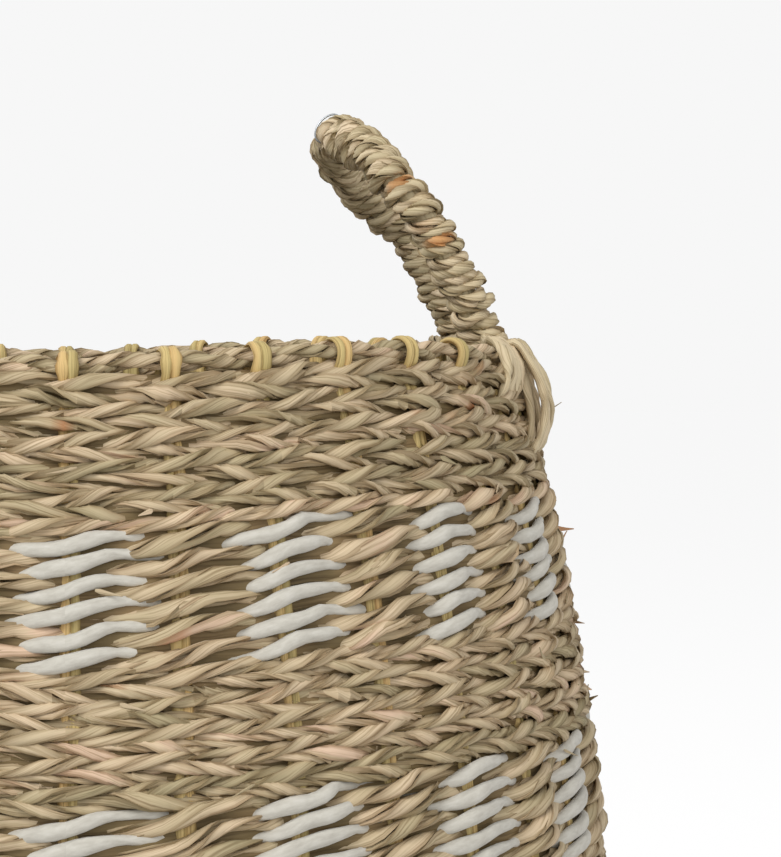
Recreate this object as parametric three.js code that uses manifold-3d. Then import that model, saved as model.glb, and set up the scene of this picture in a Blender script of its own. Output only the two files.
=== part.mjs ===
// A belly-shaped storage basket, twined from seagrass round upright raffia stakes,
// with a rope rim, white cord woven into three bands, and two upright loop handles.
// Millimetres, +Z up. The basket stands on z = 0 with its axis along Z.
// The front is -Y and the handles are at +X and -X.
import * as THREE from 'three';
import { mergeVertices } from 'three/addons/utils/BufferGeometryUtils.js';
import Module from 'manifold-3d';

const wasm = await Module();
wasm.setup();

// Driving dimensions
const gap = 0.3;                // clearance kept between neighbouring pieces
const facetClearance = 0.35;    // clearance where a flat piece passes through or over a facet
const stakeCount = 34;
const stakeWidth = 7;
const stakeThickness = 1.9;
const wallThickness = 11;       // the stake, with a strand in front and one behind
const bellyRadius = 212.5;      // middle of the wall at its widest
const bellyHeight = 180;
const upperReach = 220;         // height over which the wall draws in above the belly
const upperDraw = 36.5;
const upperPower = 1.6;
const lowerDraw = 44.5;
const lowerPower = 2.2;
const baseEdgeRadius = 158;     // where the flat base ends and that corner begins
const baseWeaveRadius = 150;
const baseCentreRadius = 60;
const ropeHeight = 394.4;       // middle of the rim rope
const ropeRadius = 3.4;
const ropeSides = 6;
const bandsTop = 394;
const bandHeights = [54.2, 44.4, 44.4, 44.4, 44.4, 44.4, 74];   // from the rim down
const whiteBands = [2, 4, 6];
const wallBends = [18, 43.8, 117.8, 206.6, 295.4, 339.8, 384]; // where the wall's facets meet
const handleStakes = [[7, 10], [24, 27]];   // the stakes that the handle roots straddle
const rootWidth = 16;
const rootThickness = 4.5;
const rootFoot = 360;           // how far down the outside a root reaches
const rootTail = 10;            // and how far below the rope it ends on the inside
const rootArcSteps = 6;
const gripRadius = 8.2;
const gripSides = 8;
const gripBoreRadius = 2.3;
const coreWireRadius = 1.7;
const wireSides = 6;
const handleSteps = 20;
const handleLean = 20;          // degrees from upright where a handle leaves the rim
const handleCurl = 22;          // degrees that it leans further by its crown
const handleRise = 106.5;       // length from the rim to the crown, along the lean
const legInset = 5.2;           // the legs stand this far inside the rim rope
const rearFootOut = 5;          // the rear leg stands this much further out at its foot
const rearCrownIn = 7;          // and this much further in near the crown
const rearTurn = [15, 75];      // the length along the lean over which it crosses between
const rearFullWidth = 40;       // half width from which that holds in full
const gripStart = 15;           // where the moving grip starts, clear of the roots

const stakeAngle = (2 * Math.PI) / stakeCount;
const wallHalf = wallThickness / 2;
const facetGrowth = 1 / Math.cos(stakeAngle / 2);   // puts facet middles on the radius

const seagrass = finish(0xc2ad83, 0.85);
const whiteCord = finish(0xdcdcd6, 0.9);
const raffia = finish(0xc9b15e, 0.7);
const handleCord = finish(0xb5a47c, 0.85);
const wire = finish(0x8f9296, 0.4, 0.9);

function finish(color, roughness, metalness = 0) {
  return new THREE.MeshStandardMaterial({ color, roughness, metalness });
}

// The middle of the wall

function wallRadius(z) {
  if (z >= bellyHeight) {
    return bellyRadius - upperDraw * ((z - bellyHeight) / upperReach) ** upperPower;
  }
  return bellyRadius - lowerDraw * ((bellyHeight - z) / bellyHeight) ** lowerPower;
}

function station(r, z, normalR, normalZ) {
  return { r, z, normalR, normalZ };
}

function bandEdges() {
  const edges = [bandsTop];
  for (const height of bandHeights) {
    edges.push(edges[edges.length - 1] - height);
  }
  return edges;
}

// The middle of the rounded bottom corner
function cornerStation() {
  const foot = wallBends[0];
  const step = 0.5;
  const slope = (wallRadius(foot + step) - wallRadius(foot)) / step;
  const curve = new THREE.QuadraticBezierCurve(
    new THREE.Vector2(baseEdgeRadius, wallHalf),
    new THREE.Vector2(wallRadius(foot) - slope * (foot - wallHalf), wallHalf),
    new THREE.Vector2(wallRadius(foot), foot),
  );
  const point = curve.getPoint(0.5);
  return station(point.x, point.y, Math.SQRT1_2, -Math.SQRT1_2);
}

// From the hub of the base, out, round the corner and up to just under the rope
function wallStations() {
  return [
    station(baseCentreRadius, wallHalf, 0, -1),
    station(baseEdgeRadius, wallHalf, 0, -1),
    cornerStation(),
    ...wallBends.map((z) => station(wallRadius(z), z, 1, 0)),
  ];
}

// Stations on an arc round the rim rope, from outside over the top to inside
function overRope(radius, steps) {
  const centre = wallRadius(ropeHeight);
  return Array.from({ length: steps + 1 }, (_, i) => {
    const angle = (Math.PI * i) / steps;
    const r = centre + radius * Math.cos(angle);
    return station(r, ropeHeight + radius * Math.sin(angle), Math.cos(angle), Math.sin(angle));
  });
}

function stationAt(line, z) {
  const upper = line.findIndex((s) => s.z >= z && s.normalZ === 0);
  const a = line[upper - 1];
  const b = line[upper];
  const t = (z - a.z) / (b.z - a.z);
  return station(a.r + t * (b.r - a.r), z, 1, 0);
}

function shifted(s, distance) {
  return new THREE.Vector2(s.r + distance * s.normalR, s.z + distance * s.normalZ);
}

function outline(line, halfThickness) {
  const outside = line.map((s) => shifted(s, halfThickness));
  const inside = line.map((s) => shifted(s, -halfThickness)).reverse();
  return [...outside, ...inside];
}

// Solids and booleans

function closedGeometry(geometry) {
  geometry.deleteAttribute('normal');
  geometry.deleteAttribute('uv');
  return mergeVertices(geometry, 1e-4);
}

function toManifold(geometry) {
  const closed = closedGeometry(geometry.clone());
  return new wasm.Manifold(new wasm.Mesh({
    numProp: 3,
    vertProperties: new Float32Array(closed.attributes.position.array),
    triVerts: new Uint32Array(closed.index.array),
  }));
}

function fromManifold(solid) {
  const { vertProperties, triVerts } = solid.getMesh();
  const geometry = new THREE.BufferGeometry();
  geometry.setAttribute('position', new THREE.BufferAttribute(vertProperties, 3));
  geometry.setIndex(new THREE.BufferAttribute(triVerts, 1));
  return geometry;
}

// A flat strip bent in the upright plane through the axis, at the front of the basket
function stripGeometry(line, thickness, width) {
  const shape = new THREE.Shape(outline(line, thickness / 2));
  const geometry = new THREE.ExtrudeGeometry(shape, { depth: width, bevelEnabled: false });
  geometry.translate(0, 0, -width / 2);
  const toFront = new THREE.Matrix4().makeBasis(
    new THREE.Vector3(0, -1, 0),
    new THREE.Vector3(0, 0, 1),
    new THREE.Vector3(-1, 0, 0),
  );
  return closedGeometry(geometry.applyMatrix4(toFront));
}

// A ring turned about the axis, one facet to a stake, from a closed outline of r and z
function ringGeometry(points) {
  const profile = points.map((p) => new THREE.Vector2(p.x * facetGrowth, p.y));
  profile.push(profile[0].clone());
  const geometry = new THREE.LatheGeometry(profile, stakeCount, stakeAngle / 2);
  return closedGeometry(geometry.rotateX(Math.PI / 2));
}

function outwards(geometry) {
  return toManifold(geometry).volume() < 0 ? flipped(geometry) : geometry;
}

function flipped(geometry) {
  const index = geometry.index.array;
  for (let i = 0; i < index.length; i += 3) {
    [index[i], index[i + 1]] = [index[i + 1], index[i]];
  }
  return geometry;
}

// Stakes, weave and rope

const basketLine = wallStations();
const underRope = wallBends[wallBends.length - 1];

function stakeLine() {
  const loopRadius = ropeRadius + gap + stakeThickness / 2;
  const loop = overRope(loopRadius, ropeSides / 2);
  const tuck = station(wallRadius(ropeHeight) - loopRadius, ropeHeight - ropeRadius, -1, 0);
  return [...basketLine, ...loop, tuck];
}

function stakes(line) {
  const geometry = outwards(stripGeometry(line, stakeThickness, stakeWidth));
  return Array.from({ length: stakeCount }, (_, k) => {
    const mesh = new THREE.Mesh(geometry, raffia);
    mesh.name = `stake_${String(k + 1).padStart(2, '0')}`;
    mesh.rotation.z = k * stakeAngle;
    return mesh;
  });
}

// The room that the stakes need inside the weave
function stakeTunnels(line) {
  const room = 2 * facetClearance;
  const start = station(baseCentreRadius - stakeThickness, wallHalf, 0, -1);
  const open = [start, ...line.slice(1)];
  const tunnel = outwards(stripGeometry(open, stakeThickness + room, stakeWidth + room));
  const copies = Array.from({ length: stakeCount }, (_, k) => (
    toManifold(tunnel.clone().rotateZ(k * stakeAngle))
  ));
  return copies.reduce((sum, copy) => sum.add(copy));
}

function wovenRing(name, line, material, tunnels) {
  const ring = toManifold(outwards(ringGeometry(outline(line, wallHalf))));
  const mesh = new THREE.Mesh(fromManifold(ring.subtract(tunnels)), material);
  mesh.name = name;
  return mesh;
}

function bands(tunnels) {
  const edges = bandEdges();
  const meshes = bandHeights.map((_, i) => {
    const top = Math.min(edges[i] - gap / 2, ropeHeight - ropeRadius - gap);
    const foot = edges[i + 1] + gap / 2;
    const below = Math.min(top, underRope);
    const between = basketLine.filter((s) => s.normalZ === 0 && s.z > foot && s.z < below);
    const line = [stationAt(basketLine, foot), ...between, topStation(top)];
    const white = whiteBands.includes(i + 1);
    const name = `weave_band_${i + 1}_${white ? 'white' : 'natural'}`;
    return wovenRing(name, line, white ? whiteCord : seagrass, tunnels);
  });
  return [...meshes, cornerBand(edges[bandHeights.length] - gap / 2, tunnels)];
}

function topStation(z) {
  return z > underRope ? station(wallRadius(z), z, 1, 0) : stationAt(basketLine, z);
}

// The rows round the bottom corner, which meet the weave of the base
function cornerBand(top, tunnels) {
  const start = station(baseWeaveRadius + gap, wallHalf, 0, -1);
  const between = basketLine.filter((s) => s.r > start.r && s.z < top);
  const line = [start, ...between, stationAt(basketLine, top)];
  return wovenRing('weave_corner', line, seagrass, tunnels);
}

function baseWeave(tunnels) {
  const line = [
    station(baseCentreRadius, wallHalf, 0, -1),
    station(baseWeaveRadius, wallHalf, 0, -1),
  ];
  return wovenRing('base_weave', line, seagrass, tunnels);
}

function baseCentre() {
  const radius = baseCentreRadius - gap;
  const geometry = new THREE.CylinderGeometry(radius, radius, wallThickness, stakeCount);
  const mesh = new THREE.Mesh(closedGeometry(geometry.rotateX(Math.PI / 2)), seagrass);
  mesh.name = 'base_centre';
  mesh.position.z = wallHalf;
  return mesh;
}

function rimRope() {
  const centre = wallRadius(ropeHeight);
  const section = Array.from({ length: ropeSides }, (_, i) => {
    const angle = (2 * Math.PI * i) / ropeSides;
    return new THREE.Vector2(
      centre + ropeRadius * Math.cos(angle),
      ropeHeight + ropeRadius * Math.sin(angle),
    );
  });
  const mesh = new THREE.Mesh(outwards(ringGeometry(section)), seagrass);
  mesh.name = 'rim_rope';
  return mesh;
}

// Handles

// A root hooks over the rim and its stake loop, and lies down the outside of the wall
function rootLine() {
  const loopRadius = ropeRadius + gap + stakeThickness;
  const hookRadius = loopRadius + gap + facetClearance + rootThickness / 2;
  const inside = station(wallRadius(ropeHeight) - hookRadius, ropeHeight - rootTail, -1, 0);
  const proud = wallHalf + facetClearance + rootThickness / 2;
  const outside = [rootFoot, underRope].map((z) => (
    station(stationAt(basketLine, z).r + proud, z, 1, 0)
  ));
  return [...outside, ...overRope(hookRadius, rootArcSteps), inside];
}

function roots(side) {
  const geometry = outwards(stripGeometry(rootLine(), rootThickness, rootWidth));
  return handleStakes[side].map((stake, i) => {
    const mesh = new THREE.Mesh(geometry, handleCord);
    mesh.name = `${['right', 'left'][side]}_handle_root_${i + 1}`;
    mesh.rotation.z = stake * stakeAngle;
    return mesh;
  });
}

// Half width and distance up the lean, from a leg's foot to the crown
const handleOutline = [
  [52.5, 34], [56, 51], [56.5, 67], [51, 83.5], [38, 96], [19.5, 103.7],
];

// How far the rear leg stands inside the front one
function rearShift(y, s) {
  const share = Math.min(1, Math.max(0, y / rearFullWidth));
  const crossed = THREE.MathUtils.smoothstep(s, rearTurn[0], rearTurn[1]);
  return share * (crossed * (rearFootOut + rearCrownIn) - rearFootOut);
}

function leanPoint(y, s) {
  const start = THREE.MathUtils.degToRad(handleLean);
  const curl = THREE.MathUtils.degToRad(handleCurl) / handleRise;
  const lean = start + curl * s;
  const inward = (Math.cos(start) - Math.cos(lean)) / curl + rearShift(y, s);
  const up = (Math.sin(lean) - Math.sin(start)) / curl;
  return new THREE.Vector3(rimChord - legInset - inward, y, ropeHeight + up);
}

const rootAngle = Math.PI / 2 - handleStakes[0][0] * stakeAngle;
const rimChord = wallRadius(ropeHeight) * Math.cos(rootAngle);
const rootHalfWidth = wallRadius(ropeHeight) * Math.sin(rootAngle);

function handleCurve() {
  const leg = [[rootHalfWidth, gripStart], ...handleOutline];
  const front = leg.map(([y, s]) => leanPoint(-y, s));
  const rear = leg.map(([y, s]) => leanPoint(y, s)).reverse();
  return new THREE.CatmullRomCurve3([...front, leanPoint(0, handleRise), ...rear]);
}

function circle(radius, sides, Kind = THREE.Shape) {
  return new Kind(Array.from({ length: sides }, (_, i) => {
    const angle = (2 * Math.PI * i) / sides;
    return new THREE.Vector2(radius * Math.cos(angle), radius * Math.sin(angle));
  }));
}

function tubeGeometry(curve, shape, steps) {
  const options = { steps, extrudePath: curve, bevelEnabled: false };
  return outwards(closedGeometry(new THREE.ExtrudeGeometry(shape, options)));
}

function handle(side) {
  const label = ['right', 'left'][side];
  const section = circle(gripRadius, gripSides);
  section.holes.push(circle(gripBoreRadius, wireSides, THREE.Path));
  const curve = handleCurve();
  const grip = new THREE.Mesh(tubeGeometry(curve, section, handleSteps), handleCord);
  grip.name = `${label}_handle_wrap`;
  const wireSection = circle(coreWireRadius, wireSides);
  const core = new THREE.Mesh(tubeGeometry(curve, wireSection, handleSteps), wire);
  core.name = `${label}_handle_core_wire`;
  const group = new THREE.Group();
  group.rotation.z = side * Math.PI;
  group.add(grip, core);
  return group;
}

const line = stakeLine();
const tunnels = stakeTunnels(line);
const basket = new THREE.Group();
basket.add(...stakes(line), ...bands(tunnels), baseWeave(tunnels), baseCentre(), rimRope());
basket.add(...roots(0), ...roots(1), handle(0), handle(1));

export default basket;
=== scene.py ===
import math
import bpy
import numpy as np
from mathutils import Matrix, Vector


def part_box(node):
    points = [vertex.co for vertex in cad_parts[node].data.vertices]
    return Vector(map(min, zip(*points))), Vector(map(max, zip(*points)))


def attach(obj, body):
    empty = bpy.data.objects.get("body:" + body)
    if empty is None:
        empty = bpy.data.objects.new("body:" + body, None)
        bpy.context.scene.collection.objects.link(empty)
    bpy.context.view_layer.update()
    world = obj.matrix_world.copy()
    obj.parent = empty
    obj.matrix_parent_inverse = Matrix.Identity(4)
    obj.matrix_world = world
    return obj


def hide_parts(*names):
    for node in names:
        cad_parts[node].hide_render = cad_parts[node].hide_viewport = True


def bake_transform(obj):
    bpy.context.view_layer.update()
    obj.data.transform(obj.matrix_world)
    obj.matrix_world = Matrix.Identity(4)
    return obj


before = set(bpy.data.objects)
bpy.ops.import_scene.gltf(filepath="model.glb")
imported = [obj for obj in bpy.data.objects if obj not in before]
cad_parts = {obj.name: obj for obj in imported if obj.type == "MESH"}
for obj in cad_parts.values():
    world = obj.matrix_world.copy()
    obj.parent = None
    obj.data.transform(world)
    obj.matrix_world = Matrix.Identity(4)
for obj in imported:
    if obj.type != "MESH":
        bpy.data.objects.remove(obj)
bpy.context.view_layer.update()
bpy.ops.object.select_all(action="DESELECT")
print("frame loaded:", len(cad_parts), "nodes")

fullTurn = 2 * math.pi
ropeLow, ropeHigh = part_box("rim_rope")
ropeHeight = (ropeLow.z + ropeHigh.z) / 2

# the middle of the wall, from the rim down to the hub of the base
wall = {
    "stakes": 34,
    "bellyRadius": 0.2125,
    "bellyHeight": 0.180,
    "upperReach": 0.220,
    "upperDraw": 0.0365,
    "upperPower": 1.6,
    "lowerDraw": 0.0445,
    "lowerPower": 2.2,
    "cornerHeight": 0.018,
    "baseEdge": 0.158,
    "baseMiddle": 0.0055,
    "uprightSteps": 240,
    "cornerSteps": 24,
    "baseSteps": 80,
    "slopeStep": 0.0005,
}
stakeAngle = fullTurn / wall["stakes"]


def wallRadius(z):
    above = np.clip(z - wall["bellyHeight"], 0, None) / wall["upperReach"]
    below = np.clip(wall["bellyHeight"] - z, 0, None) / wall["bellyHeight"]
    return (wall["bellyRadius"] - wall["upperDraw"] * above ** wall["upperPower"]
            - wall["lowerDraw"] * below ** wall["lowerPower"])


def wallLine():
    heights = np.linspace(ropeHeight, wall["cornerHeight"], wall["uprightSteps"])
    upright = np.stack([wallRadius(heights), heights], 1)
    step = wall["slopeStep"]
    foot = upright[-1]
    slope = (wallRadius(foot[1] + step) - foot[0]) / step
    control = np.array([foot[0] - slope * (foot[1] - wall["baseMiddle"]), wall["baseMiddle"]])
    edge = np.array([wall["baseEdge"], wall["baseMiddle"]])
    t = np.linspace(0, 1, wall["cornerSteps"])[1:, None]
    corner = (1 - t) ** 2 * foot + 2 * t * (1 - t) * control + t ** 2 * edge
    inwards = np.linspace(edge[0], 0, wall["baseSteps"])[1:]
    base = np.stack([inwards, np.full(len(inwards), edge[1])], 1)
    return np.concatenate([upright, corner, base])


wallPoints = wallLine()
wallReach = np.concatenate([[0], np.cumsum(np.linalg.norm(np.diff(wallPoints, axis=0), axis=1))])
wallSlope = np.gradient(wallPoints, wallReach, axis=0)
cornerStart = wall["uprightSteps"] - 1
cornerReach = wallReach[cornerStart]
baseReach = wallReach[cornerStart + wall["cornerSteps"] - 1]


# the rim is uneven: it stands higher to either side than at the front and back
lift = {
    # degrees round from the front or back, rise there, and the height where all of it is felt
    "degrees": [0, 10.6, 21, 32, 42, 55, 65, 90],
    "rise": [0, 0.0012, 0.0029, 0.0048, 0.0050, 0.0040, 0.0028, 0.0022],
    "full": 0.22,
}


def wallLift(angle, height):
    fromFront = np.degrees(np.abs(np.arcsin(np.clip(np.sin(angle), -1, 1))))
    rise = np.interp(fromFront, lift["degrees"], lift["rise"])
    return rise * np.clip(height / lift["full"], 0, 1)


def onWall(reach, angle, offsetOut=0.0, offsetUp=0.0):
    # reach is measured down the wall from the rope, offsets are from the wall's middle
    radius = np.interp(reach, wallReach, wallPoints[:, 0])
    height = np.interp(reach, wallReach, wallPoints[:, 1])
    downR = np.interp(reach, wallReach, wallSlope[:, 0])
    downZ = np.interp(reach, wallReach, wallSlope[:, 1])
    length = np.hypot(downR, downZ)
    downR, downZ = downR / length, downZ / length
    radius = radius - downZ * offsetOut - downR * offsetUp
    height = height + downR * offsetOut - downZ * offsetUp
    height = height + wallLift(angle, height)
    sin, cos = np.sin(angle), np.cos(angle)
    point = np.stack([radius * sin, -radius * cos, height], -1)
    up = np.stack([-downR * sin, downR * cos, -downZ], -1)
    out = np.stack([-downZ * sin, downZ * cos, downR], -1)
    return point, up, out


def reachOfHeight(z):
    return np.interp(-z, -wallPoints[:cornerStart + 1, 1], wallReach[:cornerStart + 1])


def ripple(rng, turn, low, high, amount, count=6):
    total = np.zeros_like(turn)
    for _ in range(count):
        total += np.sin(rng.integers(low, high + 1) * turn + rng.uniform(0, fullTurn))
    return amount * total / math.sqrt(count / 2)


# the stakes don't run quite straight, and the rows follow them
stakeWaves = [
    # size in radians, waves round the basket, change with reach, start
    (0.006, 3, 9, 0.4),
    (0.004, 5, -14, 1.3),
    (0.003, 11, 21, 0.0),
]


def drift(angle, reach):
    return sum(size * np.sin(waves * angle + change * reach + start)
               for size, waves, change, start in stakeWaves)


# meshes gathered from many tubes

def newBundle():
    return {"points": [], "quads": [], "uvs": [], "tone": [], "edge": [], "stain": [],
            "size": 0, "tubes": 0}


bladeSection = np.array([(0, 1), (-0.75, 0.45), (-0.75, -0.45),
                         (0, -1), (0.95, -0.42), (0.95, 0.42)])
# how much painted shade darkens each column of a blade: most at its two thin edges, where the
# creases between blades fall
bladeEdgeShade = np.array([1, 0.1, 0.1, 1, 0, 0])


def roundSection(columns):
    angles = np.arange(columns) * fullTurn / columns
    return np.stack([np.cos(angles), np.sin(angles)], 1)


floorClearance = 0.0002     # no tube goes lower than this
ownPattern = 1.37           # shift of the fibre pattern from one tube to the next
patternCount = 97


def addTube(bundle, centre, thickWay, wideWay, section, thick, wide, closed, tone,
            stain=0.0, edgeShade=None):
    # thickWay x wideWay points along the tube, so that faces point outwards
    rings, columns = len(centre), len(section)
    reachThick = (thick * np.ones(rings))[:, None, None] * section[None, :, :1]
    reachWide = (wide * np.ones(rings))[:, None, None] * section[None, :, 1:]
    grid = centre[:, None] + thickWay[:, None] * reachThick + wideWay[:, None] * reachWide
    grid[..., 2] = np.maximum(grid[..., 2], floorClearance)
    steps = rings if closed else rings - 1
    i, j = np.meshgrid(np.arange(steps), np.arange(columns), indexing="ij")
    nextI, nextJ = (i + 1) % rings, (j + 1) % columns
    quads = np.stack([i * columns + j, i * columns + nextJ,
                      nextI * columns + nextJ, nextI * columns + j], -1).reshape(-1, 4)
    gaps = np.linalg.norm(np.roll(centre, -1, 0) - centre, axis=1)
    along = np.concatenate([[0], np.cumsum(gaps)])
    u0, u1 = along[i], along[i + 1]
    # every tube has its own stretch of the fibre pattern
    own = ownPattern * (bundle["tubes"] % patternCount)
    v0, v1 = own + j / columns, own + (j + 1) / columns
    uvs = np.stack([u0, v0, u0, v1, u1, v1, u1, v0], -1).reshape(-1, 4, 2)
    if not closed:
        k = np.arange(columns // 2 - 1)
        cap = np.stack([k, k + 1, columns - 2 - k, columns - 1 - k], -1)
        last = cap + (rings - 1) * columns
        quads = np.concatenate([quads, cap[:, ::-1], last])
        uvs = np.concatenate([uvs, np.zeros((2 * len(k), 4, 2))])
    # per column, how far painted shade darkens the tube; it is stored as the edge attribute
    edgeShade = np.zeros(columns) if edgeShade is None else edgeShade
    bundle["points"].append(grid.reshape(-1, 3))
    bundle["quads"].append(quads + bundle["size"])
    bundle["uvs"].append(uvs)
    bundle["tone"].append(np.repeat(tone * np.ones(rings), columns))
    bundle["stain"].append(np.repeat(stain * np.ones(rings), columns))
    bundle["edge"].append(np.tile(edgeShade, rings))
    bundle["size"] += rings * columns
    bundle["tubes"] += 1


sharpAngle = math.radians(52)


def meshPiece(name, bundle, material):
    mesh = bpy.data.meshes.new(name)
    mesh.from_pydata(np.concatenate(bundle["points"]), [], np.concatenate(bundle["quads"]))
    layer = mesh.uv_layers.new(name="strand")
    layer.data.foreach_set("uv", np.concatenate(bundle["uvs"]).astype(np.float32).ravel())
    # edge carries painted shade for the finish; tone and stain are the leaf's own colour
    for label in ("tone", "edge", "stain"):
        attribute = mesh.attributes.new(label, "FLOAT", "POINT")
        attribute.data.foreach_set("value", np.concatenate(bundle[label]).astype(np.float32))
    mesh.materials.append(material)
    piece = bpy.data.objects.new(name, mesh)
    bpy.context.scene.collection.objects.link(piece)
    bpy.ops.object.select_all(action="DESELECT")
    piece.select_set(True)
    bpy.context.view_layer.objects.active = piece
    bpy.ops.object.shade_smooth_by_angle(angle=sharpAngle, keep_sharp_edges=False)
    piece.select_set(False)
    print(name, len(mesh.polygons) * 2, "triangles")
    return piece


# finishes

def newFinish(name):
    material = bpy.data.materials.new(name)
    material.use_nodes = True
    tree = material.node_tree
    shader = tree.nodes["Principled BSDF"]
    return material, tree, shader


def addNode(tree, kind, **settings):
    made = tree.nodes.new(kind)
    for key, value in settings.items():
        if key in made.inputs:
            made.inputs[key].default_value = value
        else:
            setattr(made, key, value)
    return made


def strandCoordinates(tree, alongScale, aroundScale):
    # fibre patterns run along each strand
    place = addNode(tree, "ShaderNodeUVMap", uv_map="strand")
    stretch = addNode(tree, "ShaderNodeVectorMath", operation="MULTIPLY")
    stretch.inputs[1].default_value = (alongScale, aroundScale, 0)
    tree.links.new(place.outputs[0], stretch.inputs[0])
    return stretch.outputs[0]


def srgb(red, green, blue):
    def linear(value):
        value = value / 255
        return value / 12.92 if value <= 0.04045 else ((value + 0.055) / 1.055) ** 2.4
    return (linear(red), linear(green), linear(blue), 1.0)


def rampOf(tree, stops):
    ramp = addNode(tree, "ShaderNodeValToRGB")
    while len(ramp.color_ramp.elements) < len(stops):
        ramp.color_ramp.elements.new(0.5)
    for element, (place, colour) in zip(ramp.color_ramp.elements, stops):
        element.position = place
        element.color = colour
    return ramp


def mixColour(tree, kind, share, first, second):
    mix = addNode(tree, "ShaderNodeMix", data_type="RGBA", blend_type=kind)
    sockets = (mix.inputs[0], mix.inputs[6], mix.inputs[7])
    for socket, value in zip(sockets, (share, first, second)):
        if isinstance(value, bpy.types.NodeSocket):
            tree.links.new(value, socket)
        else:
            socket.default_value = value
    return mix.outputs[2]


leaf = {
    "patchScale": (22.0, 2.5),      # along a strand and round it
    "patchSwing": 0.9,              # how far patches shift the tone
    "fibreScale": (30.0, 15.0),
    "fibreStops": [(0.34, (0.50, 0.44, 0.35, 1)), (0.47, (0.92, 0.90, 0.86, 1)),
                   (0.66, (1.1, 1.1, 1.1, 1))],
    "fibreShare": 0.8,
    "fibreDepth": 0.0003,
    # painted shade: how far blade edges and creases are darkened, and the colour they are darkened
    # towards
    "edgeShadeShare": 0.72,
    "edgeShadeColour": (0.45, 0.38, 0.28, 1),
    "roughness": 0.62,
    "specular": 0.3,
}


def leafFinish(name, stops, stainColour):
    material, tree, shader = newFinish(name)
    tone = addNode(tree, "ShaderNodeAttribute", attribute_name="tone").outputs["Fac"]
    edge = addNode(tree, "ShaderNodeAttribute", attribute_name="edge").outputs["Fac"]
    stain = addNode(tree, "ShaderNodeAttribute", attribute_name="stain").outputs["Fac"]
    colour = rampOf(tree, stops)
    patches = addNode(tree, "ShaderNodeTexNoise", Scale=1.0, Detail=3.0, Roughness=0.6)
    tree.links.new(strandCoordinates(tree, *leaf["patchScale"]), patches.inputs["Vector"])
    shift = addNode(tree, "ShaderNodeMath", operation="MULTIPLY_ADD")
    tree.links.new(patches.outputs["Fac"], shift.inputs[0])
    shift.inputs[1].default_value = leaf["patchSwing"]
    shift.inputs[2].default_value = -leaf["patchSwing"] / 2
    moved = addNode(tree, "ShaderNodeMath", operation="ADD")
    tree.links.new(tone, moved.inputs[0])
    tree.links.new(shift.outputs[0], moved.inputs[1])
    tree.links.new(moved.outputs[0], colour.inputs[0])
    fibres = addNode(tree, "ShaderNodeTexNoise", Scale=1.0, Detail=2.0, Roughness=0.55)
    tree.links.new(strandCoordinates(tree, *leaf["fibreScale"]), fibres.inputs["Vector"])
    streak = rampOf(tree, leaf["fibreStops"])
    tree.links.new(fibres.outputs["Fac"], streak.inputs[0])
    base = mixColour(tree, "MULTIPLY", leaf["fibreShare"], colour.outputs[0], streak.outputs[0])
    stained = mixColour(tree, "MIX", stain, base, stainColour)
    # painted shade: the edge attribute darkens blade edges as if shaded in the creases between
    # blades
    edgeShadeShare = addNode(tree, "ShaderNodeMath", operation="MULTIPLY")
    tree.links.new(edge, edgeShadeShare.inputs[0])
    edgeShadeShare.inputs[1].default_value = leaf["edgeShadeShare"]
    edgeShadeShare.use_clamp = True
    final = mixColour(tree, "MULTIPLY", edgeShadeShare.outputs[0], stained, leaf["edgeShadeColour"])
    tree.links.new(final, shader.inputs["Base Color"])
    bump = addNode(tree, "ShaderNodeBump", Strength=0.7, Distance=leaf["fibreDepth"])
    tree.links.new(fibres.outputs["Fac"], bump.inputs["Height"])
    tree.links.new(bump.outputs[0], shader.inputs["Normal"])
    shader.inputs["Roughness"].default_value = leaf["roughness"]
    shader.inputs["Specular IOR Level"].default_value = leaf["specular"]
    return material


cotton = {
    "lintScale": 900.0,
    "pileScale": (160.0, 8.0),
    "stops": [(0.25, srgb(177, 172, 161)), (0.55, srgb(195, 191, 180)),
              (0.8, srgb(206, 202, 193))],
    "depth": 0.00025,
    "roughness": 0.9,
    "specular": 0.15,
    "sheen": 0.25,
    "sheenRoughness": 0.5,
}


def cordFinish(name):
    material, tree, shader = newFinish(name)
    lint = addNode(tree, "ShaderNodeTexNoise", Scale=cotton["lintScale"], Detail=4.0,
                   Roughness=0.7)
    place = addNode(tree, "ShaderNodeTexCoord")
    tree.links.new(place.outputs["Object"], lint.inputs["Vector"])
    pile = addNode(tree, "ShaderNodeTexNoise", Scale=1.0, Detail=3.0, Roughness=0.6)
    tree.links.new(strandCoordinates(tree, *cotton["pileScale"]), pile.inputs["Vector"])
    shade = rampOf(tree, cotton["stops"])
    tree.links.new(pile.outputs["Fac"], shade.inputs[0])
    tree.links.new(shade.outputs[0], shader.inputs["Base Color"])
    both = addNode(tree, "ShaderNodeMath", operation="ADD")
    tree.links.new(lint.outputs["Fac"], both.inputs[0])
    tree.links.new(pile.outputs["Fac"], both.inputs[1])
    bump = addNode(tree, "ShaderNodeBump", Strength=0.4, Distance=cotton["depth"])
    tree.links.new(both.outputs[0], bump.inputs["Height"])
    tree.links.new(bump.outputs[0], shader.inputs["Normal"])
    shader.inputs["Roughness"].default_value = cotton["roughness"]
    shader.inputs["Specular IOR Level"].default_value = cotton["specular"]
    shader.inputs["Sheen Weight"].default_value = cotton["sheen"]
    shader.inputs["Sheen Roughness"].default_value = cotton["sheenRoughness"]
    return material


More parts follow.
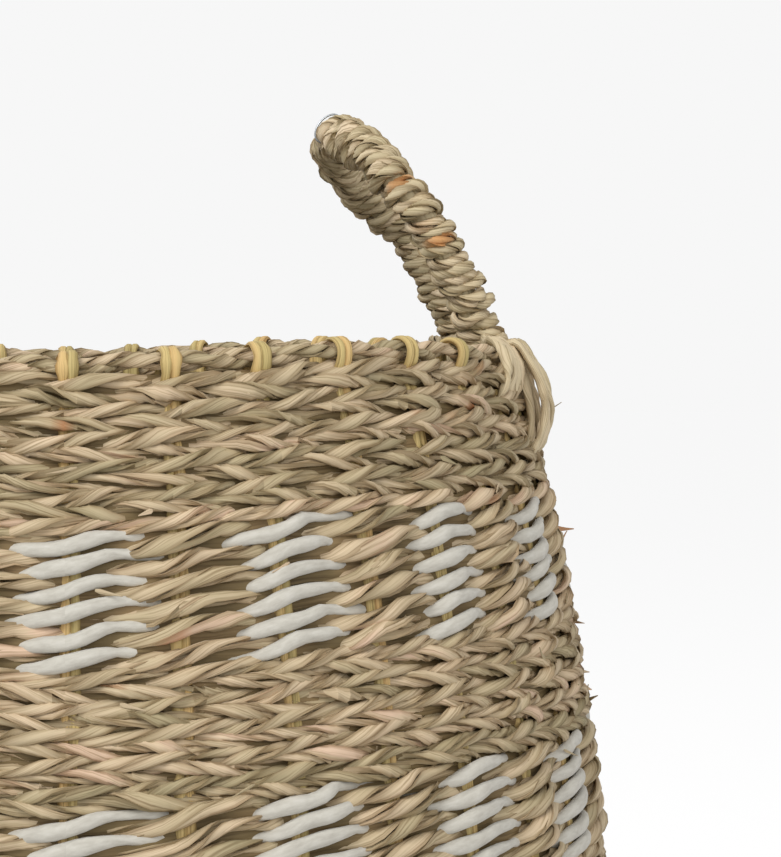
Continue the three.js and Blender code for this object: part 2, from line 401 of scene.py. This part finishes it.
seagrassTones = [
    (0.00, srgb(162, 150, 117)),
    (0.35, srgb(184, 168, 135)),
    (0.65, srgb(198, 179, 148)),
    (0.92, srgb(210, 188, 158)),
    (1.00, srgb(211, 183, 157)),
]
raffiaTones = [
    (0.0, srgb(178, 162, 108)),
    (0.5, srgb(206, 184, 126)),
    (1.0, srgb(216, 180, 122)),
]
stainColour = srgb(186, 112, 62)
seagrass = leafFinish("seagrass leaf", seagrassTones, stainColour)
whiteCord = cordFinish("white cotton cord")
raffia = leafFinish("raffia", raffiaTones, srgb(196, 130, 70))


# rows of twining

# plain rows are close and fine, rows with cord in them are taller
plain = {
    "outward": 0.0030,      # how far a float stands off the wall's middle at its stake
    "lag": 0.0008,          # a float comes out late and goes in late, over the row above
    "rise": 0.0016,         # and climbs this much either side of its row
    "strand": 0.00150,      # unit that the leaves of a strand are sized by
    "pinch": 0.70,          # size where the strands cross
    "blades": 2,
    "twistPitch": 0.042,
    "sway": 0.95,           # rows differ this much in where their floats begin
}
mixed = {
    "outward": 0.0036,
    "lag": 0.0012,
    "rise": 0.0027,
    "strand": 0.00178,
    "pinch": 0.64,
    "blades": 3,
    "twistPitch": 0.062,
    "sway": 0.1,
}
blades = {
    2: {"reach": 0.84, "wide": 1.58, "thick": 0.92},
    3: {"reach": 1.0, "wide": 1.55, "thick": 0.68},
}
strandStep = 0.0040
# how much the leaves of a strand differ: lowest and highest waves along it, and amount
vary = {
    "around": (5, 26, 0.4),
    "reach": (8, 60, 0.13),
    "wide": (10, 70, 0.10),
    "thick": (10, 70, 0.12),
    "lean": (8, 60, 0.2),
    "tone": (5, 40, 0.10),
    "stain": (4, 40, 1.0, 8),
    "stainFrom": 2.35,
    "stainMost": 0.8,
}
cord = {"half": 0.0029, "pinch": 0.48, "columns": 12, "stepLength": 0.0033}


def seagrassStrand(bundle, rng, path, up, out, turn, size, twist, count=3, closed=True,
                   extraStain=0.0):
    shape = blades[count]
    toneStrand = rng.uniform(0.3, 0.75)
    for blade in range(count):
        around = (blade / count * fullTurn + rng.uniform(-0.4, 0.4) + twist * turn
                  + ripple(rng, turn, *vary["around"]))
        thickWay = np.cos(around)[:, None] * up + np.sin(around)[:, None] * out
        wideWay = -np.sin(around)[:, None] * up + np.cos(around)[:, None] * out
        reach = size * shape["reach"] * (1 + ripple(rng, turn, *vary["reach"]))
        wide = size * shape["wide"] * rng.uniform(0.85, 1.12)
        wide = wide * (1 + ripple(rng, turn, *vary["wide"]))
        thick = size * shape["thick"] * rng.uniform(0.85, 1.15)
        thick = thick * (1 + ripple(rng, turn, *vary["thick"]))
        lean = ripple(rng, turn, *vary["lean"])[:, None]
        tone = toneStrand + rng.uniform(-0.16, 0.16) + ripple(rng, turn, *vary["tone"])
        spots = ripple(rng, turn, *vary["stain"]) - vary["stainFrom"]
        stain = np.clip(spots, 0, vary["stainMost"]) + extraStain
        addTube(bundle, path + thickWay * reach[:, None], thickWay + lean * wideWay,
                wideWay - lean * thickWay, bladeSection, thick, wide, closed, tone, stain,
                bladeEdgeShade)


# rows wander up and down a little: size, waves round the basket, change with reach
rowWaves = [(0.0006, 4, 60), (0.0004, 9, -110)]


def twinedRow(reach, steps, phase, spokes, turns, sway):
    turn = np.arange(steps) * fullTurn / steps
    angle = turn * turns
    shared = np.random.default_rng(int(reach * 1e5))
    wander = sum(size * np.sin(waves * angle + change * reach) for size, waves, change in rowWaves)
    wander = wander + ripple(shared, angle, 8, 34, 0.0003)
    beat = (spokes / 2 * (angle - drift(angle, reach)) + phase + shared.uniform(-sway, sway)
            + ripple(shared, angle, 10, 50, 0.2))
    return turn, angle, reach + wander, beat


# the base is woven flatter than the wall
flattening = {"above": 0.03, "base": 0.8}


def flatness(reach):
    return np.interp(reach, [cornerReach - flattening["above"], baseReach],
                     [1.0, flattening["base"]])


def stepsFor(reach, spokes, stepLength, turns=1):
    radius = np.interp(reach, wallReach, wallPoints[:, 0])
    perSpoke = max(4, round(radius * fullTurn / spokes / stepLength))
    return int(spokes * perSpoke * turns)


def weaveRow(bundle, whiteBundle, reach, seed, spokes=wall["stakes"], turns=1, lay=1):
    # lay is 1 where floats climb to the right and -1 where they climb to the left
    style = plain if whiteBundle is None else mixed
    flat = flatness(reach)
    for strand in range(2 if turns == 1 else 1):
        rng = np.random.default_rng([seed, strand])
        white = whiteBundle is not None and strand == 0
        steps = stepsFor(reach, spokes, cord["stepLength"] if white else strandStep, turns)
        turn, angle, place, beat = twinedRow(reach, steps, strand * math.pi, spokes, turns,
                                             style["sway"])
        outward = flat * (style["outward"] * np.cos(beat) + lay * style["lag"] * np.sin(beat))
        path, up, out = onWall(place, angle, outward, lay * style["rise"] * np.sin(beat))
        swell = np.abs(np.cos(beat)) ** 0.8
        if white:
            size = cord["half"] * (cord["pinch"] + (1 - cord["pinch"]) * swell)
            size = size * (1 + ripple(rng, turn, 20, 120, 0.05))
            addTube(whiteBundle, path, up, out, roundSection(cord["columns"]), size, size * 0.8,
                    True, rng.uniform(0.2, 0.8))
        else:
            size = style["strand"] * (style["pinch"] + (1 - style["pinch"]) * swell)
            size = size * (1 + ripple(rng, turn, 6, 40, 0.09))
            girth = float(np.interp(reach, wallReach, wallPoints[:, 0])) * fullTurn * turns
            twist = round(girth / style["twistPitch"])
            seagrassStrand(bundle, rng, path, up, flat * out, turn, size, strand - lay * twist,
                           style["blades"])


# a sheet behind the gaps of each row, given a low tone and darkened fully with painted shade
shadeLeaf = {"halfHigh": 0.54, "halfThick": 0.0005, "perStake": 6, "shadeStrength": 2.1}


def addShadeLeaf(bundle, reach, seed, pitch):
    # a flat leaf lies among the stakes, behind the gaps of a row, darkened all over with painted
    # shade so that the gaps look dark
    rng = np.random.default_rng([seed, 7])
    steps = wall["stakes"] * shadeLeaf["perStake"]
    turn = np.arange(steps) * fullTurn / steps
    path, up, out = onWall(reach + ripple(rng, turn, 6, 40, 0.0003), turn,
                           ripple(rng, turn, 20, 60, 0.0003))
    high = shadeLeaf["halfHigh"] * pitch * (1 + ripple(rng, turn, 10, 60, 0.1))
    addTube(bundle, path, up, out, roundSection(4), high, shadeLeaf["halfThick"], True,
            ripple(rng, turn, 6, 40, 0.2) + 0.1, 0.0, np.full(4, shadeLeaf["shadeStrength"]))


bands = [
    # piece, CAD node, top and foot, rows, and whether one strand is white cord
    ("top_weave", "weave_band_1_natural", 0.3905, 0.3398, 11, False),
    ("upper_white", "weave_band_2_white", 0.3398, 0.2954, 6, True),
    ("upper_weave", "weave_band_3_natural", 0.2954, 0.2510, 10, False),
    ("middle_white", "weave_band_4_white", 0.2510, 0.2066, 6, True),
    ("middle_weave", "weave_band_5_natural", 0.2066, 0.1622, 10, False),
    ("lower_white", "weave_band_6_white", 0.1622, 0.1178, 6, True),
    ("lower_weave", "weave_band_7_natural", 0.1178, 0.0808, 8, False),
    ("foot_weave", "weave_band_7_natural", 0.0808, 0.0438, 8, False),
]


def weaveBand(number, name, node, top, foot, count, white):
    bundle = newBundle()
    whiteBundle = newBundle() if white else None
    pitch = (top - foot) / count
    for row in range(count):
        reach = float(reachOfHeight(top - pitch * (row + 0.5)))
        # plain rows climb to the right and to the left by turns
        lay = 1 if white or row % 2 == 0 else -1
        weaveRow(bundle, whiteBundle, reach, 100 * number + row, lay=lay)
        addShadeLeaf(bundle, reach, 100 * number + row, pitch)
    pieces = [meshPiece(name + "_seagrass", bundle, seagrass)]
    if white:
        pieces.append(meshPiece(name + "_cord", whiteBundle, whiteCord))
    for piece in pieces:
        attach(piece, "basket")
        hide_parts(node)


for number, band in enumerate(bands):
    weaveBand(number, *band)
print("wall woven")

floorWeave = {
    "pitch": 0.0049,
    "pairedRadius": 0.1,    # nearer the hub than this, rows go over two stakes at a time
    "outerRadius": 0.1505,
    "midRadius": 0.09,
    "hub": 0.0285,
    "hubRings": 4,
    "hubStart": 0.0275,
    "hubEnd": 0.005,
    "hubSteps": 150,
    "hubOffset": 0.0021,
    "hubSize": 0.8,
    "hubTwist": 11,
}
cornerTop = float(reachOfHeight(bands[-1][3]))
floorReaches = np.arange(cornerTop + floorWeave["pitch"] / 2, wallReach[-1] - floorWeave["hub"],
                         floorWeave["pitch"])


def weaveFloor(name, nodes, rimRadius, innerRadius):
    # rows round the corner and across the base, where pairs of stakes meet near the hub
    bundle = newBundle()
    for row, reach in enumerate(floorReaches):
        radius = float(np.interp(reach, wallReach, wallPoints[:, 0]))
        if innerRadius <= radius < rimRadius:
            paired = radius < floorWeave["pairedRadius"]
            spokes = wall["stakes"] // 2 if paired else wall["stakes"]
            weaveRow(bundle, None, reach, 900 + row, spokes, 2 if paired else 1,
                     1 if row % 2 == 0 else -1)
            addShadeLeaf(bundle, reach, 900 + row, floorWeave["pitch"])
    piece = meshPiece(name, bundle, seagrass)
    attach(piece, "basket")
    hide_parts(*nodes)


weaveFloor("corner_weave", ["weave_corner"], math.inf, floorWeave["outerRadius"])
weaveFloor("floor_weave_outer", ["base_weave"], floorWeave["outerRadius"],
           floorWeave["midRadius"])
weaveFloor("floor_weave_inner", ["base_weave"], floorWeave["midRadius"], 0)


def weaveHub():
    # the middle of the base is one strand coiled over the crossing stakes, inside and out
    bundle = newBundle()
    for side in (-1, 1):
        rng = np.random.default_rng([900, side + 1])
        turn = np.linspace(0, 1, floorWeave["hubSteps"])
        angle = turn * floorWeave["hubRings"] * fullTurn * side
        radius = np.interp(turn, [0, 1], [floorWeave["hubStart"], floorWeave["hubEnd"]])
        path, up, out = onWall(wallReach[-1] - radius, angle,
                               side * floorWeave["hubOffset"])
        size = np.full(len(turn), mixed["strand"] * floorWeave["hubSize"])
        seagrassStrand(bundle, rng, path, up * side, out, turn * fullTurn, size,
                       floorWeave["hubTwist"], 3, False)
    piece = meshPiece("floor_hub", bundle, seagrass)
    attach(piece, "basket")
    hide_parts("base_centre")


weaveHub()
print("base woven")

# stakes, each a pair of raffia bundles that loops over the rope

stake = {
    "halfWide": 0.0020,
    "halfThick": 0.0012,
    "apart": 0.0015,
    "step": 0.006,
    "closest": 0.03,        # nearer the hub than this, the two bundles draw together
    "inner": 0.008,         # how near the hub the stakes run
    "top": 0.012,           # how far below the rope the loop over it begins
    "loopSteps": 22,
    "bare": (6, 11, 23, 28),    # stakes beside the handles, which end under the rope
    "loop": [(0.0, -0.0085), (0.0034, -0.0045), (0.0046, 0.0), (0.0034, 0.0032),
             (0.0, 0.0046), (-0.0034, 0.0032), (-0.0046, 0.0), (-0.0044, -0.005),
             (-0.0040, -0.012), (-0.001, -0.022)],
}
rimRadius = float(wallRadius(np.array(ropeHeight)))


def smoothLine(points, count):
    # an even curve through the given points
    points = np.array(points, float)
    padded = np.concatenate([[2 * points[0] - points[1]], points, [2 * points[-1] - points[-2]]])
    places = np.linspace(0, len(points) - 1 - 1e-9, count)
    i = places.astype(int)
    t = (places - i)[:, None]
    p0, p1, p2, p3 = padded[i], padded[i + 1], padded[i + 2], padded[i + 3]
    return 0.5 * (2 * p1 + (p2 - p0) * t + (2 * p0 - 5 * p1 + 4 * p2 - p3) * t ** 2
                  + (3 * p1 - p0 - 3 * p2 + p3) * t ** 3)


def tubeFrame(path, side):
    # thick and wide directions for a free path, wide kept near the given side direction
    ahead = np.gradient(path, axis=0)
    ahead /= np.linalg.norm(ahead, axis=1)[:, None]
    thick = np.cross(side, ahead)
    thick /= np.linalg.norm(thick, axis=1)[:, None]
    return thick, np.cross(ahead, thick)


def addStakes():
    bundle = newBundle()
    rng = np.random.default_rng(71)
    loop = smoothLine(stake["loop"], stake["loopSteps"])
    reach = np.arange(wallReach[-1] - stake["inner"], reachOfHeight(ropeHeight - stake["top"]),
                      -stake["step"])
    stakeRadius = np.interp(reach, wallReach, wallPoints[:, 0])
    stakeRadius = np.maximum(stakeRadius, stake["closest"])
    for k in range(wall["stakes"]):
        for half in (-1, 1):
            angle = (k * stakeAngle + drift(k * stakeAngle, reach)
                     + half * stake["apart"] / stakeRadius)
            path = onWall(reach, angle)[0]
            last = angle[-1]
            sin, cos = math.sin(last), math.cos(last)
            radius = rimRadius + loop[:, 0]
            over = np.stack([radius * sin, -radius * cos, ropeHeight + loop[:, 1]
                             + wallLift(last, ropeHeight)], -1)
            if k not in stake["bare"]:
                path = np.concatenate([path, over])
            side = np.array([cos, sin, 0.0])
            thickWay, wideWay = tubeFrame(path, side)
            turn = np.linspace(0, fullTurn, len(path))
            wide = stake["halfWide"] * (1 + ripple(rng, turn, 3, 30, 0.12))
            thick = stake["halfThick"] * rng.uniform(0.85, 1.1)
            # the bundles' edges get the same painted shade as the leaf blades
            addTube(bundle, path, thickWay, wideWay, bladeSection, thick, wide, False,
                    rng.uniform(0.1, 0.95), 0.0, bladeEdgeShade)
    piece = meshPiece("raffia_stakes", bundle, raffia)
    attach(piece, "basket")
    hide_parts(*[f"stake_{k + 1:02d}" for k in range(wall["stakes"])])


addStakes()
print("stakes set")

rope = {
    "plies": 2,
    "turns": 25,
    "twist": 44,
    "offset": 0.0017,
    "unit": 0.00122,
    "height": 0.0004,
    "stepsPerStake": 12,
}


def addRope():
    bundle = newBundle()
    steps = wall["stakes"] * rope["stepsPerStake"]
    for ply in range(rope["plies"]):
        rng = np.random.default_rng([500, ply])
        turn = np.arange(steps) * fullTurn / steps
        lay = (-rope["turns"] * turn + ply / rope["plies"] * fullTurn
               + ripple(rng, turn, 6, 20, 0.5))
        path, up, out = onWall(np.zeros(steps), turn, rope["offset"] * np.cos(lay),
                               rope["height"] + rope["offset"] * 0.9 * np.sin(lay))
        size = rope["unit"] * (1 + ripple(rng, turn, 10, 60, 0.10))
        seagrassStrand(bundle, rng, path, up, out, turn, size, -rope["twist"] + ply)
    piece = meshPiece("rim_rope_plies", bundle, seagrass)
    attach(piece, "basket")
    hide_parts("rim_rope")


addRope()
print("rope laid")

# handles: a two-ply cord wound round a wire, with its strands spread over the rim as roots

handle = {
    "lean": math.radians(20),
    "curl": math.radians(22) / 0.1065,
    "rise": 0.1065,
    "inset": 0.0052,
    "rearFootOut": 0.0085,  # the rear leg stands out at its foot and in near the crown
    "rearCrownIn": 0.0030,
    "rearTurn": (0.055, 0.098),
    "rearFullWidth": 0.040,
    "rootStake": 7,
    "bend": 0.03,           # length over which a leg bends where the handle tilts
    "outline": [(0.0525, 0.034), (0.056, 0.051), (0.0565, 0.067), (0.051, 0.0835),
                (0.038, 0.096), (0.0195, 0.1037)],
    "coreRadius": 0.0052,
    "windPitch": 0.0082,
    "windRadius": 0.0061,
    "strandApart": 0.0020,  # two strands lie side by side in each turn
    "rock": 0.45,
    "unit": 0.00125,
    "twistPitch": 0.022,
    "stepLength": 0.0018,
    "ochre": (0.052, 0.063, 0.076),     # where the cord shows ochre, along the front leg
}
rootAngle = math.pi / 2 - handle["rootStake"] * stakeAngle
rimChord = rimRadius * math.cos(rootAngle)
rootHalf = rimRadius * math.sin(rootAngle)
handleTones = [
    (0.00, srgb(176, 164, 130)),
    (0.35, srgb(198, 183, 149)),
    (0.65, srgb(211, 194, 162)),
    (1.00, srgb(221, 202, 172)),
]
handleCord = leafFinish("twisted handle cord", handleTones, srgb(214, 150, 84))


def rearShift(y, s):
    share = min(1, max(0, y / handle["rearFullWidth"]))
    start, end = handle["rearTurn"]
    t = min(1, max(0, (s - start) / (end - start)))
    crossed = t * t * (3 - 2 * t)
    across = handle["rearFootOut"] + handle["rearCrownIn"]
    return share * (crossed * across - handle["rearFootOut"])


def leanPoint(y, s):
    lean = handle["lean"] + handle["curl"] * s
    inward = (math.cos(handle["lean"]) - math.cos(lean)) / handle["curl"] + rearShift(y, s)
    up = (math.sin(lean) - math.sin(handle["lean"])) / handle["curl"]
    return (rimChord - handle["inset"] - inward, y, ropeHeight + up)


def handleLine():
    leg = [(rootHalf, 0.0), (rootHalf, 0.015)] + handle["outline"]
    points = [leanPoint(-y, s) for y, s in leg] + [leanPoint(0, handle["rise"])]
    points += [leanPoint(y, s) for y, s in reversed(leg)]
    return smoothLine(points, 600)


def resample(path, step):
    lengths = np.concatenate([[0], np.cumsum(np.linalg.norm(np.diff(path, axis=0), axis=1))])
    places = np.linspace(0, lengths[-1], max(2, round(lengths[-1] / step)))
    return np.stack([np.interp(places, lengths, path[:, k]) for k in range(3)], 1)


def woundCord(bundle, rng):
    core = resample(handleLine(), 0.0005)
    run = np.concatenate([[0], np.cumsum(np.linalg.norm(np.diff(core, axis=0), axis=1))])
    loops = run[-1] / handle["windPitch"]
    length = loops * fullTurn * handle["windRadius"] * 1.15
    steps = round(length / handle["stepLength"])
    places = np.linspace(0, run[-1], steps)
    centre = np.stack([np.interp(places, run, core[:, k]) for k in range(3)], 1)
    # the winding direction is carried smoothly along, so that it never flips
    ahead = np.gradient(centre, axis=0)
    ahead /= np.linalg.norm(ahead, axis=1)[:, None]
    inPlane = np.array([math.cos(handle["lean"] + 0.2), 0.0, math.sin(handle["lean"] + 0.2)])
    one = np.cross(ahead, np.cross(inPlane, ahead))
    one /= np.linalg.norm(one, axis=1)[:, None]
    two = np.cross(ahead, one)
    turn = np.linspace(0, fullTurn, steps)
    wind = -places / handle["windPitch"] * fullTurn + ripple(rng, turn, 6, 30, 0.25)
    outward = np.cos(wind)[:, None] * one + np.sin(wind)[:, None] * two
    radius = handle["windRadius"] * (1 + ripple(rng, turn, 4, 40, 0.06))
    spine = centre + outward * radius[:, None]
    onwards = np.gradient(spine, axis=0)
    onwards /= np.linalg.norm(onwards, axis=1)[:, None]
    aside = np.cross(onwards, outward)
    aside /= np.linalg.norm(aside, axis=1)[:, None]
    outward = np.cross(aside, onwards)
    addTube(bundle, core[::8], *tubeFrame(core[::8], np.array([0.0, 1.0, 0.3])), roundSection(10),
            handle["coreRadius"], handle["coreRadius"], False, 0.3, 0.0)
    facing = np.clip(1.6 * np.abs(outward[:, 1]) - 0.6, 0, 1) * (outward[:, 1] < 0)
    ochre = sum(np.exp(-((places - spot) / 0.0034) ** 4) for spot in handle["ochre"])
    for strand in (-1, 1):
        rock = strand * math.pi / 2 + handle["rock"] * ripple(rng, turn, 20, 90, 1.0)
        beside = np.cos(rock)[:, None] * outward + np.sin(rock)[:, None] * aside
        apart = handle["strandApart"] * beside
        lumps = 1 + ripple(rng, turn, 20, 120, 0.10)
        seagrassStrand(bundle, rng, spine + apart, outward, aside, turn, handle["unit"] * lumps,
                       length / handle["twistPitch"], 3, False,
                       0.8 * ochre * facing * (strand > 0))


root = {
    "strands": 7,
    "fan": 0.0120,
    "bulge": (1.0, 0.50, 0.92, 0.62, 1.0, 0.45, 0.82),
    "halfWide": 0.0023,
    "halfThick": 0.0015,
    # out from the wall's middle, and up from the rope's height
    "outside": [(0.0062, 0.0055), (0.0110, -0.002), (0.0132, -0.011), (0.0128, -0.020),
                (0.0095, -0.029), (0.0045, -0.036), (0.0, -0.042)],
    "along": [(-0.0005, 0.0062), (0.0052, 0.0025), (0.0066, -0.005), (0.0045, -0.012),
              (0.0, -0.018)],
    "alongFans": (0.012, 0.019, 0.026, 0.033),
    "inside": [(-0.0075, 0.002), (-0.0085, -0.010), (-0.0060, -0.022), (0.0, -0.030)],
}


def rootStrand(rng, bundle, side, fan, route, start, bulge=1.0):
    middle = math.pi / 2 + side * -rootAngle
    points = [leanPoint(-side * rootHalf, s) for s in (start, start * 0.45, 0.002)]
    points = [np.array(point) + (0, fan * share, 0)
              for point, share in zip(points, (0.1, 0.25, 0.5))]
    for share, (out, up) in zip(np.linspace(0.75, 1.15, len(route)), route):
        angle = middle + fan * share / rimRadius + rng.uniform(-0.004, 0.004)
        height = ropeHeight + up
        radius = float(wallRadius(np.array(height))) + out * bulge
        height += float(wallLift(angle, height))
        points.append(np.array([radius * math.sin(angle), -radius * math.cos(angle), height]))
    path = resample(smoothLine(points, 120), 0.002)
    along = np.array([math.cos(middle), math.sin(middle), 0.0])
    thickWay, wideWay = tubeFrame(path, along)
    turn = np.linspace(0, fullTurn, len(path))
    lay = ripple(rng, turn, 1, 3, 0.5)[:, None]
    thickWay, wideWay = (np.cos(lay) * thickWay + np.sin(lay) * wideWay,
                         np.cos(lay) * wideWay - np.sin(lay) * thickWay)
    ends = np.clip(np.minimum(turn, fullTurn - turn) / 0.6, 0.35, 1)
    wide = root["halfWide"] * ends * (1 + ripple(rng, turn, 2, 12, 0.12))
    thick = root["halfThick"] * ends * (1 + ripple(rng, turn, 2, 12, 0.12))
    addTube(bundle, path, thickWay, wideWay, roundSection(8), thick, wide, False,
            rng.uniform(0.35, 0.8), 0.0)


def addHandle(label, seed):
    bundle = newBundle()
    rng = np.random.default_rng(seed)
    woundCord(bundle, rng)
    for side in (-1, 1):
        for strand in range(root["strands"]):
            fan = root["fan"] * (2 * strand / (root["strands"] - 1) - 1)
            bulge = root["bulge"][strand % len(root["bulge"])]
            rootStrand(rng, bundle, side, fan, root["outside"], rng.uniform(0.014, 0.022), bulge)
        for fan in (-0.005, 0.0, 0.005):
            rootStrand(rng, bundle, side, fan, root["inside"], 0.014)
        for fan in root["alongFans"]:
            rootStrand(rng, bundle, side, side * -fan, root["along"], 0.016)
    if label == "left":
        bundle["points"] = [points * (-1, -1, 1) for points in bundle["points"]]
    piece = meshPiece(label + "_handle_cord", bundle, handleCord)
    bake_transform(piece)
    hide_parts(label + "_handle_wrap", label + "_handle_root_1", label + "_handle_root_2",
                label + "_handle_core_wire")


addHandle("right", 301)
addHandle("left", 302)
print("handles wound")

# the end of the core wire stands out of the winding at each crown

wireEnd = {"thick": 0.0004, "reach": 0.0098, "from": 75, "to": 205, "steps": 26,
           "dip": 0.006, "forward": 0.003}


def addWireEnd(label):
    material, tree, shader = newFinish("bright wire " + label)
    shader.inputs["Base Color"].default_value = srgb(176, 180, 184)
    shader.inputs["Metallic"].default_value = 0.9
    scuffs = addNode(tree, "ShaderNodeTexNoise", Scale=700.0, Detail=2.0)
    place = addNode(tree, "ShaderNodeTexCoord")
    tree.links.new(place.outputs["Object"], scuffs.inputs["Vector"])
    rough = rampOf(tree, [(0.3, (0.22, 0.22, 0.22, 1)), (0.7, (0.42, 0.42, 0.42, 1))])
    tree.links.new(scuffs.outputs["Fac"], rough.inputs[0])
    tree.links.new(rough.outputs[0], shader.inputs["Roughness"])
    crown = np.array(leanPoint(0, handle["rise"]))
    angle = np.radians(np.linspace(wireEnd["from"], wireEnd["to"], wireEnd["steps"]))
    dip = np.abs(np.linspace(-1, 1, wireEnd["steps"])) ** 6
    reach = wireEnd["reach"] - wireEnd["dip"] * dip
    aside = np.full(len(angle), -wireEnd["forward"])
    path = crown + np.stack([reach * np.cos(angle), aside, reach * np.sin(angle)], 1)
    bundle = newBundle()
    addTube(bundle, path, *tubeFrame(path, np.array([0.0, 1.0, 0.0])), roundSection(8),
            wireEnd["thick"], wireEnd["thick"], False, 0.5)
    if label == "left":
        bundle["points"] = [points * (-1, -1, 1) for points in bundle["points"]]
    piece = meshPiece(label + "_wire_end", bundle, material)
    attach(piece, "handle_" + label)


addWireEnd("right")
addWireEnd("left")

# loose leaf ends that stand off the weave

wisps = {
    "count": 170,
    "length": (0.005, 0.014),
    "halfWide": (0.0005, 0.0012),
    "lift": 0.25,
    "height": (0.02, 0.39),
    "stained": 0.04,        # share of them that are stained
    "stand": 0.0045,
}
tufts = [
    # angle from the front, height, length, half width, stain, lift
    (84, 0.3655, 0.014, 0.0007, 0.0, 0.9),
    (81, 0.3690, 0.007, 0.0010, 0.0, 0.6),
    (86, 0.3235, 0.014, 0.0016, 0.55, 0.7),
    (82, 0.3170, 0.011, 0.0012, 0.45, 0.4),
    (87, 0.2650, 0.008, 0.0014, 0.0, 0.7),
    (84, 0.2600, 0.010, 0.0016, 0.25, 0.4),
    (85, 0.2860, 0.008, 0.0010, 0.0, 0.5),
    (83, 0.2540, 0.009, 0.0013, 0.0, 0.5),
]


def addWisp(bundle, rng, angle, height, length, halfWide, stain, lift):
    reach = float(reachOfHeight(height))
    t = np.linspace(0, 1, 7)
    turn = rng.choice([-1, 1]) * (1.1 + rng.uniform(-0.3, 0.3))
    radius = float(wallRadius(np.array(height)))
    sideways = length * t * math.sin(turn) / radius
    climb = length * t * math.cos(turn) * rng.choice([-0.6, 0.8])
    stand = wisps["stand"] + lift * length * t ** 1.4
    path, up, out = onWall(reach + 0 * t, angle + sideways, stand, climb)
    thickWay, wideWay = tubeFrame(path, up[0] + 0.3 * out[0])
    taper = np.clip(1.15 - t, 0.12, 1) * np.clip(0.5 + 3 * t, 0, 1)
    addTube(bundle, path, thickWay, wideWay, roundSection(6), 0.0002 + 0.0001 * taper,
            halfWide * taper, False, rng.uniform(0.1, 1.0), stain)


def addWisps():
    rng = np.random.default_rng(2024)
    bundle = newBundle()
    for degrees, height, length, halfWide, stain, lift in tufts:
        for flip in (0, 180):
            angle = math.radians(degrees + flip)
            addWisp(bundle, rng, angle, height, length, halfWide, stain, lift)
    for _ in range(wisps["count"]):
        addWisp(bundle, rng, rng.uniform(0, fullTurn), rng.uniform(*wisps["height"]),
                rng.uniform(*wisps["length"]), rng.uniform(*wisps["halfWide"]),
                float(rng.random() < wisps["stained"]) * 0.6, rng.uniform(0.0, wisps["lift"]))
    piece = meshPiece("loose_leaf_ends", bundle, seagrass)
    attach(piece, "basket")


addWisps()
print("loose ends added")

# camera and light

view = {"distance": 1.0, "height": 0.4045, "aim": (0.1325, 0.0, 0.367), "lens": 103.6}


def addCamera():
    bpy.ops.object.camera_add(location=(0, -view["distance"], view["height"]))
    camera = bpy.context.object
    toAim = np.array(view["aim"]) - np.array(camera.location)
    yaw = math.atan2(toAim[0], toAim[1])
    pitch = math.atan2(toAim[2], math.hypot(toAim[0], toAim[1]))
    camera.rotation_euler = (math.pi / 2 + pitch, 0, -yaw)
    camera.data.lens = view["lens"]
    camera.data.clip_start = 0.05
    camera.data.clip_end = 40
    bpy.context.scene.camera = camera


studio = {
    "floor": 12.0,          # half the side of the floor
    "backdrop": 0.93,       # brightness of the backdrop and floor as they are seen
    "ambient": 0.55,        # brightness of the backdrop as it lights the basket
    "floorShade": 0.22,     # share of the floor's brightness that comes from light on it
    "lamps": [
        {"place": (-1.2, -1.8, 2.1), "power": 40, "size": 1.3},
        {"place": (1.9, -1.6, 1.3), "power": 13, "size": 1.6},
        {"place": (-0.3, -2.6, 0.9), "power": 10, "size": 1.2},
        {"place": (-1.6, 1.0, 2.0), "power": 16, "size": 1.4},
    ],
}


def seenOrLighting(tree, seen, lighting):
    path = addNode(tree, "ShaderNodeLightPath")
    blend = addNode(tree, "ShaderNodeMix", data_type="FLOAT")
    tree.links.new(path.outputs["Is Camera Ray"], blend.inputs[0])
    blend.inputs[2].default_value = lighting
    blend.inputs[3].default_value = seen
    return blend.outputs[0]


def addStudio():
    # the floor glows just enough to meet the backdrop without a line
    bpy.ops.mesh.primitive_plane_add(size=studio["floor"] * 2, location=(0, 0, -0.0005))
    floor = bpy.context.object
    floor.name = "studio_floor"
    material, tree, shader = newFinish("pale floor")
    shade = studio["floorShade"]
    shader.inputs["Base Color"].default_value = (shade, shade, shade, 1)
    shader.inputs["Roughness"].default_value = 1.0
    shader.inputs["Specular IOR Level"].default_value = 0.0
    shader.inputs["Emission Color"].default_value = (1, 1, 1, 1)
    fromLight = shade * studio["ambient"]
    glow = seenOrLighting(tree, studio["backdrop"] - fromLight, studio["ambient"] * (1 - shade))
    tree.links.new(glow, shader.inputs["Emission Strength"])
    floor.data.materials.append(material)
    world = bpy.data.worlds.new("studio")
    bpy.context.scene.world = world
    world.use_nodes = True
    background = world.node_tree.nodes["Background"]
    background.inputs[0].default_value = (1, 1, 1, 1)
    sky = seenOrLighting(world.node_tree, studio["backdrop"], studio["ambient"])
    world.node_tree.links.new(sky, background.inputs[1])
    for lamp in studio["lamps"]:
        bpy.ops.object.light_add(type="AREA", location=lamp["place"])
        light = bpy.context.object
        light.data.energy = lamp["power"]
        light.data.size = lamp["size"]
        x, y, z = lamp["place"]
        toBasket = math.hypot(x, y)
        light.rotation_euler = (math.atan2(toBasket, z - 0.25), 0, math.atan2(-x, y) + math.pi)
    bpy.context.scene.view_settings.view_transform = "Standard"


addCamera()
addStudio()
